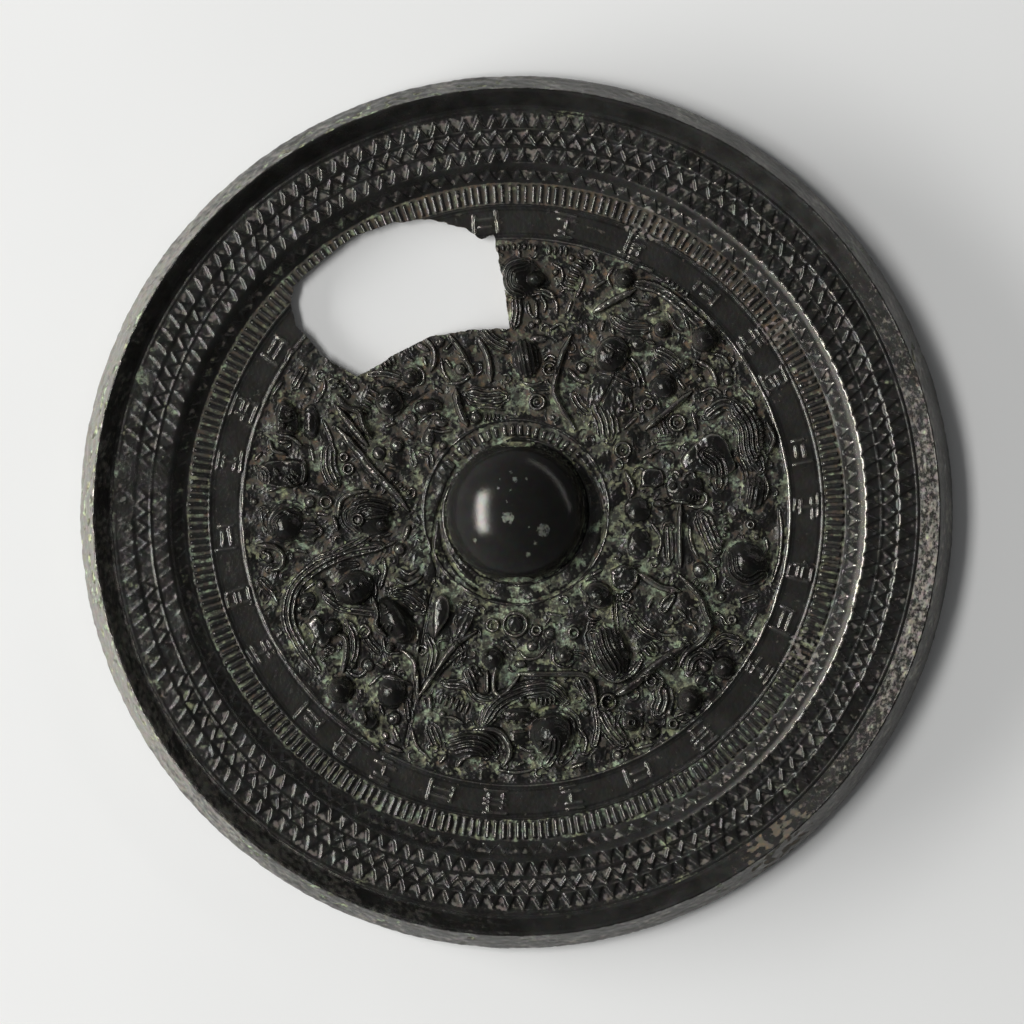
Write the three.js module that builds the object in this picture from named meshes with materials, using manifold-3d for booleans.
// A cast bronze mirror, lying on its reflecting face with the decorated back up: a rim of triangular
// section, sawtooth and zigzag bands, a step down, a comb band, an inscription band, a field of deities
// and beasts in relief, and a domed knob with a cord tunnel. A fragment is missing from the thin part.
// Millimetres, +Z up. The origin is the middle of the flat spot that the convex face rests on.

import * as THREE from "three";
import { mergeVertices } from "three/addons/utils/BufferGeometryUtils.js";
import Module from "manifold-3d";

const wasm = await Module();
wasm.setup();

// Disc and rim
const OUTER_RADIUS = 110;
const FACE_RADIUS = 109.4;
const FACE_MIDDLE_RADIUS = 75;
const FLAT_SPOT_RADIUS = 30;
const FACE_CURVATURE_RADIUS = 2400;
const EDGE_HEIGHT = 3.3;
const RIM = { radius: 106.1, height: 11.2 };
const RIM_FOOT_RADIUS = 101.8;

// Surface levels, from the outer zone down to the figure field
const OUTER_LEVEL = 6.3;
const LOWER_LEVEL = 2.9;
const FIELD_LEVEL = 2.7;

// Thin raised lines between the bands: half the width of their foot, and their height
const LINE = { half: 0.45, height: 0.5 };
const LINE_RADII = { rim: 100.9, comb: 77.3, field: 69, knob: 23 };

// Bands of teeth that point outwards: how many, the radius of their tips and of their bases, and height
const OUTER_TEETH = { count: 168, tip: 100.3, base: 96.7, height: 0.85 };
const INNER_TEETH = { count: 161, tip: 91.7, base: 88.2, height: 0.85 };
const STEP_TEETH = { count: 153, tip: 87, base: 83.9, height: 0.75 };

// A raised zigzag line: its turns lie by turns on two circles
const ZIGZAG = { count: 158, outer: 95.5, inner: 93, height: 0.6, foot: 92.2 };

// Radial ribs, and the petals round the knob
const COMB = { count: 84, outer: 82.6, inner: 77.9, height: 0.6 };
const PETALS = { count: 18, outer: 21.9, inner: 19.2, height: 0.6 };

// Inscription band: the sign places, the middle of the band and the strokes
const SIGNS = { count: 28, radius: 73.2, stroke: 4.4, height: 0.5, spread: 1.5 };
const SIGN_TURNS = [0, 90, 35, -40];

// Knob, and the cord tunnel that runs through it along Y
const KNOB = { radius: 17.6, top: 15.2, shoulder: 5.2 };
const TUNNEL = { halfWidth: 4, floor: 3.4, wall: 3.6, rise: 1.8, halfLength: 30 };

// How many facets go round a plain ring, and how deep a raised form is sunk into the disc
const RING_SIDES = 45;
const KNOB_SIDES = 24;
const SINK = 0.5;

// Points nearer together than this are one point in the finished solid
const WELD = 0.004;

// The outline of the missing fragment, a ragged break with sharp corners
const BREAK_OUTLINE = [
  [-22.4, 73.9], [-31.4, 72.9], [-40.9, 69.6], [-50.8, 62.0], [-56.1, 57.1], [-56.9, 52.6],
  [-55.6, 46.8], [-52.8, 44.3], [-49.5, 39.8], [-45.8, 37.2], [-40.1, 34.1], [-34.3, 37.3],
  [-29.4, 40.4], [-22.0, 44.1], [-10.5, 46.0], [-1.6, 46.2], [-2.9, 56.3], [-5.1, 66.9],
  [-5.5, 70.0], [-8.7, 68.8], [-12.9, 71.5], [-17.9, 72.9],
];

// ---------------------------------------------------------------- solids

// The same geometry with near points made one, and without the triangles which that leaves flat.
function welded(geometry, tolerance) {
  const plain = geometry.clone();
  plain.deleteAttribute("normal");
  plain.deleteAttribute("uv");
  const merged = mergeVertices(plain, tolerance);
  const index = merged.index.array;
  const kept = [];
  for (let k = 0; k < index.length; k += 3) {
    const [a, b, c] = [index[k], index[k + 1], index[k + 2]];
    if (a !== b && b !== c && c !== a) kept.push(a, b, c);
  }
  merged.setIndex(kept);
  return merged;
}

// A closed solid for cutting and joining.
function solid(geometry) {
  const { attributes, index } = welded(geometry, 1e-4);
  const vertProperties = attributes.position.array;
  return new wasm.Manifold(
    new wasm.Mesh({ numProp: 3, vertProperties, triVerts: Uint32Array.from(index.array) }),
  );
}

const joined = (geometries) => geometries.map(solid).reduce((whole, part) => whole.add(part));

// ---------------------------------------------------------------- rings

// The height of the convex reflecting face at a radius.
function faceHeight(radius) {
  const beyond = Math.max(0, radius ** 2 - FLAT_SPOT_RADIUS ** 2);
  return beyond / (2 * FACE_CURVATURE_RADIUS);
}

// A closed loop of points round the axis. A turn of 0.5 starts it half a step on.
function ring(count, radius, height, turn = 0) {
  const step = (2 * Math.PI) / count;
  return Array.from({ length: count }, (_, k) => ({ angle: (k + turn) * step, radius, height }));
}

// A loop whose points are by turns on one circle and on another.
function folded(count, first, second) {
  const step = Math.PI / count;
  return Array.from({ length: 2 * count }, (_, k) => ({
    angle: k * step,
    radius: (k % 2 ? second : first)[0],
    height: (k % 2 ? second : first)[1],
  }));
}

// The triangles between two loops, taking the next point by angle from one loop or the other.
// Where both are level, the loop with fewer points goes first, which keeps teeth symmetrical.
function zip(a, b, startA, startB, triangles) {
  const angle = (loop, k) => loop[k % loop.length].angle + 2 * Math.PI * Math.floor(k / loop.length);
  const lead = a.length <= b.length ? 1e-6 : -1e-6;
  for (let i = 0, j = 0; i < a.length || j < b.length; ) {
    const [here, there] = [startA + (i % a.length), startB + (j % b.length)];
    const advanceA = j === b.length || (i < a.length && angle(a, i + 1) < angle(b, j + 1) + lead);
    if (advanceA) triangles.push(here, startA + ((i + 1) % a.length), there);
    else triangles.push(here, startB + ((j + 1) % b.length), there);
    if (advanceA) i += 1;
    else j += 1;
  }
}

// A closed skin through a stack of loops, from the middle of the underside out over the rim and back
// in to the middle of the top.
function skin(loops) {
  const positions = [];
  const triangles = [];
  let start = 0;
  loops.forEach((loop, k) => {
    for (const { angle, radius, height } of loop) {
      positions.push(radius * Math.cos(angle), radius * Math.sin(angle), height);
    }
    if (k > 0) zip(loops[k - 1], loop, start - loops[k - 1].length, start, triangles);
    start += loop.length;
  });
  const geometry = new THREE.BufferGeometry();
  geometry.setAttribute("position", new THREE.Float32BufferAttribute(positions, 3));
  geometry.setIndex(triangles);
  return geometry;
}

// ---------------------------------------------------------------- the disc with its bands

// A thin raised line: its outer foot, its crest and its inner foot.
const line = (radius, level, innerLevel = level, sides = RING_SIDES) => [
  ring(sides, radius + LINE.half, level),
  ring(sides, radius, level + LINE.height),
  ring(sides, radius - LINE.half, innerLevel),
];

// Teeth that point outwards: each rises from its tip to the middle of its base.
function teeth({ count, tip, base, height }, tipLevel, baseLevel) {
  return [
    ring(count, tip, tipLevel),
    folded(count, [base, baseLevel + height], [base, baseLevel]),
    ring(count, base, baseLevel, -0.5),
  ];
}

// A raised line that runs zigzag between the foot of the loop before it and a foot of its own.
function zigzag({ count, outer, inner, height, foot }, level) {
  return [
    folded(count, [outer, level + height], [inner, level + height]),
    ring(count, foot, level, 0.5),
  ];
}

// Radial ribs with a roof-shaped section.
function ribs({ count, outer, inner, height }, level) {
  return [
    ring(count, outer, level, -0.5),
    folded(count, [outer, level + height], [outer, level]),
    folded(count, [inner, level + height], [inner, level]),
    ring(count, inner, level, -0.5),
  ];
}

function disc() {
  const faceRing = (radius) => ring(RING_SIDES, radius, faceHeight(radius));
  const [, combCrest, combFoot] = line(LINE_RADII.comb, LOWER_LEVEL);
  return skin([
    ring(1, 0, 0),
    faceRing(FLAT_SPOT_RADIUS),
    faceRing(FACE_MIDDLE_RADIUS),
    faceRing(FACE_RADIUS),
    ring(RING_SIDES, OUTER_RADIUS, EDGE_HEIGHT),
    ring(RING_SIDES, RIM.radius, RIM.height),
    ring(RING_SIDES, RIM_FOOT_RADIUS, OUTER_LEVEL),
    ring(RING_SIDES, LINE_RADII.rim, OUTER_LEVEL + LINE.height),
    ...teeth(OUTER_TEETH, OUTER_LEVEL, OUTER_LEVEL),
    ...zigzag(ZIGZAG, OUTER_LEVEL),
    ...teeth(INNER_TEETH, OUTER_LEVEL, OUTER_LEVEL),
    ...teeth(STEP_TEETH, OUTER_LEVEL, LOWER_LEVEL),
    ...ribs(COMB, LOWER_LEVEL),
    combCrest,
    combFoot,
    ...line(LINE_RADII.field, LOWER_LEVEL, FIELD_LEVEL),
    ...line(LINE_RADII.knob, FIELD_LEVEL, FIELD_LEVEL, KNOB_SIDES),
    ...ribs(PETALS, FIELD_LEVEL),
    ring(1, 0, FIELD_LEVEL),
  ]);
}

// ---------------------------------------------------------------- raised forms

// A low dome. Folds lower every other facet edge on its shoulder, which gives it ribs like a shell.
function dome({ x, y, radius, height, length = radius, turn = 0, sides = 8, folds = 0 }) {
  const shoulder = { radius: 0.7, height: 0.76 * height };
  const points = [
    new THREE.Vector2(0, -SINK),
    new THREE.Vector2(1.05, -SINK),
    new THREE.Vector2(shoulder.radius, shoulder.height),
    new THREE.Vector2(0, height),
  ];
  const geometry = new THREE.LatheGeometry(points, sides);
  geometry.rotateX(Math.PI / 2);
  const position = geometry.attributes.position;
  for (let side = 1; side < sides; side += 2) {
    position.setZ(side * points.length + 2, shoulder.height - folds);
  }
  geometry.scale(radius, length, 1);
  geometry.rotateZ(THREE.MathUtils.degToRad(turn));
  geometry.translate(x, y, FIELD_LEVEL);
  return geometry;
}

// A ridge of triangular section that follows a curve through a few points. On a level curve the
// section's first coordinate runs downwards, so the crest is at minus the height.
function ridge(points, { width = 1.6, height = 1.2, steps = 4, level = FIELD_LEVEL } = {}) {
  const path = new THREE.CatmullRomCurve3(points.map(([x, y]) => new THREE.Vector3(x, y, level)));
  const foot = width / 2 + (SINK * width) / (2 * height);
  const section = new THREE.Shape([
    new THREE.Vector2(SINK, -foot),
    new THREE.Vector2(SINK, foot),
    new THREE.Vector2(-height, 0),
  ]);
  return new THREE.ExtrudeGeometry(section, { steps, extrudePath: path });
}

// A straight bar of triangular section, centred on a point.
function bar(x, y, length, turn, { width = 1.6, height = 1.2, level = FIELD_LEVEL } = {}) {
  const reach = length / 2;
  const [dx, dy] = [reach * Math.cos(turn), reach * Math.sin(turn)];
  return ridge([[x - dx, y - dy], [x + dx, y + dy]], { width, height, level, steps: 1 });
}

// A small raised ring with a pointed crest.
function ringlet(x, y, radius, height = 0.8) {
  const geometry = new THREE.TorusGeometry(radius, height, 4, 8);
  geometry.translate(x, y, FIELD_LEVEL);
  return geometry;
}

// ---------------------------------------------------------------- the figure field

// One of the round bosses that part the figures.
const boss = (x, y) => dome({ x, y, radius: 3.8, height: 5, sides: 10 });

const head = (x, y, radius, height = 1.1 * radius) =>
  dome({ x, y, radius, height, sides: radius < 3.5 ? 6 : 8 });

// A rounded leaf, wing or shoulder, longer than it is wide.
const lobe = (x, y, radius, length, turn, height = 2.2) =>
  dome({ x, y, radius, length, turn, height, sides: 6 });

// A leg, wing or tail with ribs.
const shell = (x, y, radius, length, turn, height = 3) =>
  dome({ x, y, radius, length, turn, height, sides: 12, folds: 0.5 });

function northBeast() {
  return [
    head(0.9, 58.9, 5.2, 4.4),
    ridge([[-3.6, 66.4], [5, 66.6], [13.4, 63.4]]),
    ridge([[16.4, 61.6], [14.6, 57], [12.2, 53]], { width: 2.2, steps: 3 }),
    ridge([[2.6, 54.6], [7.4, 52.4], [8, 47.2]]),
    shell(1.6, 38.4, 4.4, 5.2, 20, 3.6),
    shell(-5.8, 29.4, 4.4, 2.2, 8, 1.2),
    ringlet(5.2, 27.7, 1.9, 0.6),
  ];
}

function northEastDeity() {
  return [
    boss(47.5, 43.6),
    ridge([[17.4, 52.6], [11, 40.8], [9.7, 29.5], [14.8, 20.6]], { width: 1.8, height: 1.8, steps: 6 }),
    ridge([[19.6, 50.6], [25.4, 56.4], [35.4, 54.2], [44, 49]], { steps: 5 }),
    head(25.8, 58.7, 3.2),
    head(23.6, 39.6, 4.4, 3.6),
    head(35.7, 45.8, 2.8),
    head(34.9, 32, 3.8, 3.2),
    ridge([[19.6, 31.4], [21.4, 25.6], [26.6, 22]]),
    ridge([[25.4, 33.4], [28.6, 29], [28.4, 24]]),
    bar(39.4, 26.6, 13, 0.85),
    lobe(41.2, 36.8, 2.4, 3.4, 30, 1.8),
    head(54.4, 33.4, 2.6),
  ];
}

function eastBeast() {
  return [
    ridge([[54.8, 26], [59.6, 22.6], [60.6, 15], [64, 9]], { width: 4.4, height: 1.8 }),
    shell(60.2, 3.4, 3.6, 4.6, -20, 2.6),
    ridge([[47.6, 22.4], [40.4, 14.6], [45.4, 8], [50.6, 4.2]], { steps: 5 }),
    lobe(50.6, 12.4, 3.2, 4.4, 0, 1.6),
    lobe(42.4, 5.6, 5.6, 2.4, 0, 1.4),
    bar(40.7, -5.8, 15, -Math.PI / 2, { height: 1.4 }),
    dome({ x: 57.2, y: -12.4, radius: 7, height: 5, sides: 12 }),
    lobe(50.6, -4, 2.4, 4.6, 15, 1.6),
    ridge([[66.4, -2.6], [66.6, -10], [64, -17.6]]),
    ringlet(40.2, 22.4, 1.9, 0.7),
    ringlet(26.8, 15.6, 1.9, 0.6),
    lobe(30.4, -2.4, 3.4, 5.8, 10, 1.3),
  ];
}

function southEastDeity() {
  return [
    boss(43.2, -47.3),
    head(52.4, -39.3, 2.7),
    shell(25.4, -34.6, 3.2, 6.6, 12, 2.6),
    head(24.4, -22, 3.2),
    lobe(37.4, -23.4, 2.6, 4.4, -20, 2),
    ridge([[22.3, -42.4], [33, -39.8], [43.6, -32], [46, -24], [38, -16]], { height: 1.5, steps: 6 }),
    head(46, -37.2, 3.6, 2.6),
    dome({ x: 30, y: -53.6, radius: 6, height: 3.4, sides: 10 }),
    ridge([[38.6, -47.4], [34.6, -44.4], [37.4, -41.4]]),
  ];
}

function southBeast() {
  return [
    ringlet(-0.4, -28.3, 2.6, 0.7),
    ringlet(-6.2, -28.5, 1.8, 0.6),
    bar(6.6, -40.3, 21, 0, { height: 1.6 }),
    head(-7.8, -36.6, 3.4, 2.8),
    ridge([[-9.4, -46.8], [-1, -44.8], [8.8, -44], [15.4, -47.6]], { width: 2.4, steps: 5 }),
    shell(-10.6, -58.8, 6.4, 4.6, 8, 3.4),
    dome({ x: 8.8, y: -56.4, radius: 7, height: 5, sides: 12, folds: 0.4 }),
    ridge([[17.6, -42.6], [19.6, -49], [18.8, -57.4]]),
    lobe(-15.4, -50.6, 2.4, 5.6, 55, 1.6),
  ];
}

function southWestDeity() {
  return [
    boss(-43.9, -44.8),
    ridge([[-35, -10], [-46.6, -12.6], [-55.6, -20.6], [-56.6, -30.4], [-49.6, -40]],
      { width: 2.2, height: 1.6, steps: 7 }),
    head(-40.8, -19.8, 3.8, 3.4),
    dome({ x: -30.4, y: -27.4, radius: 6, height: 4.6, sides: 10 }),
    head(-48.4, -28.6, 2.6),
    ridge([[-41.4, -28], [-41.8, -34], [-39.4, -39]]),
    lobe(-19.2, -25.4, 2.4, 5, -12, 1.5),
    lobe(-13, -27.6, 2.2, 5, -30, 1.5),
    lobe(-17.6, -35.6, 2, 5.4, -15, 1.5),
    ridge([[-24.6, -47.4], [-25.8, -40.6], [-29, -36]]),
    ridge([[-24.6, -47.4], [-19.6, -43], [-13.4, -40.4]]),
    lobe(-38.8, -51.6, 3, 3.6, 40, 2),
  ];
}

function westBeast() {
  return [
    head(-56.4, 25.6, 5, 3.8),
    lobe(-58.2, 18, 4.4, 2, 15, 1.8),
    ridge([[-47.4, 19.8], [-48, 13.6], [-44.6, 8.6]], { width: 2.4 }),
    dome({ x: -36.8, y: -1.6, radius: 6.4, height: 4.4, sides: 12, folds: 0.5 }),
    head(-58, -3.4, 5.4, 4.2),
    ridge([[-52.6, -7.2], [-46.6, -9], [-41.4, -6]], { width: 2.2 }),
    ridge([[-44.6, 20.6], [-37, 12.6], [-29.3, 5.5]]),
  ];
}

function northWestDeity() {
  return [
    head(-26.8, 34.4, 3.2, 2.8),
    head(-31.4, 27.6, 3.8, 3.2),
    ringlet(-19.4, 23.4, 2.2, 0.8),
    ridge([[-12.4, 32.6], [-16.4, 28.4], [-12, 24.6]], { width: 2 }),
    bar(-13.6, 39.4, 12, -1, { height: 1.5 }),
    bar(-7, 38, 10, -1.1, { height: 1.5 }),
    lobe(-22.4, 38.8, 2.4, 4, 50, 2),
    ridge([[-45.4, 30.6], [-39.6, 26.6], [-37.4, 20]]),
    lobe(-35.4, 19.4, 3.4, 2.2, 25, 1.6),
  ];
}

const figures = () => [
  ...northBeast(),
  ...northEastDeity(),
  ...eastBeast(),
  ...southEastDeity(),
  ...southBeast(),
  ...southWestDeity(),
  ...westBeast(),
  ...northWestDeity(),
];

// One or two strokes in each sign's place. They are only strokes, not writing.
function signs() {
  const strokes = [];
  for (let k = 0; k < SIGNS.count; k += 1) {
    const angle = ((k + 0.5) / SIGNS.count) * 2 * Math.PI;
    const [x, y] = [SIGNS.radius * Math.cos(angle), SIGNS.radius * Math.sin(angle)];
    const turn = angle + THREE.MathUtils.degToRad(SIGN_TURNS[k % SIGN_TURNS.length]);
    const size = { width: 1, height: SIGNS.height, level: LOWER_LEVEL };
    const [dx, dy] = [-SIGNS.spread * Math.sin(turn), SIGNS.spread * Math.cos(turn)];
    strokes.push(bar(x - dx, y - dy, SIGNS.stroke, turn, size));
    if (k % 4 === 0) strokes.push(bar(x + dx, y + dy, 0.6 * SIGNS.stroke, turn + 0.5, size));
  }
  return strokes;
}

// ---------------------------------------------------------------- knob and cuts

// A plain dome that stands on the disc: straight for its shoulder, then a quarter of an ellipse.
function knob() {
  const rise = KNOB.top - KNOB.shoulder;
  const foot = FIELD_LEVEL - SINK;
  const profile = [new THREE.Vector2(0, foot), new THREE.Vector2(KNOB.radius - 0.3, foot)];
  for (const degrees of [0, 24, 46, 68, 90]) {
    const angle = THREE.MathUtils.degToRad(degrees);
    profile.push(new THREE.Vector2(KNOB.radius * Math.cos(angle), KNOB.shoulder + rise * Math.sin(angle)));
  }
  const geometry = new THREE.LatheGeometry(profile, KNOB_SIDES);
  geometry.rotateX(Math.PI / 2);
  return geometry;
}

// The arched hole that the cord went through.
function tunnel() {
  const { halfWidth, floor, wall, rise, halfLength } = TUNNEL;
  const arch = new THREE.Shape();
  arch.moveTo(-halfWidth, floor);
  arch.lineTo(halfWidth, floor);
  arch.lineTo(halfWidth, floor + wall);
  arch.absellipse(0, floor + wall, halfWidth, rise, 0, Math.PI);
  const geometry = new THREE.ExtrudeGeometry(arch, {
    depth: 2 * halfLength, bevelEnabled: false, curveSegments: 6,
  });
  geometry.rotateX(Math.PI / 2);
  geometry.translate(0, halfLength, 0);
  return geometry;
}

// The missing fragment, as a prism through the whole thickness.
function missingFragment() {
  const outline = new THREE.Shape(BREAK_OUTLINE.map(([x, y]) => new THREE.Vector2(x, y)));
  const geometry = new THREE.ExtrudeGeometry(outline, { depth: 30, bevelEnabled: false });
  geometry.translate(0, 0, -10);
  return geometry;
}

// ---------------------------------------------------------------- the casting

function casting() {
  const pierced = solid(knob()).subtract(solid(tunnel()));
  const whole = solid(disc()).add(joined(figures())).add(joined(signs())).add(pierced);
  const { vertProperties, triVerts } = whole.subtract(solid(missingFragment())).getMesh();
  const geometry = new THREE.BufferGeometry();
  geometry.setAttribute("position", new THREE.BufferAttribute(vertProperties, 3));
  geometry.setIndex(new THREE.BufferAttribute(triVerts, 1));
  return welded(geometry, WELD);
}

const bronze = new THREE.MeshStandardMaterial({ color: 0x32332e, roughness: 0.42, metalness: 0.85 });
const mirror = new THREE.Mesh(casting(), bronze);
mirror.name = "mirror";

const part = new THREE.Group();
part.add(mirror);

export default part;
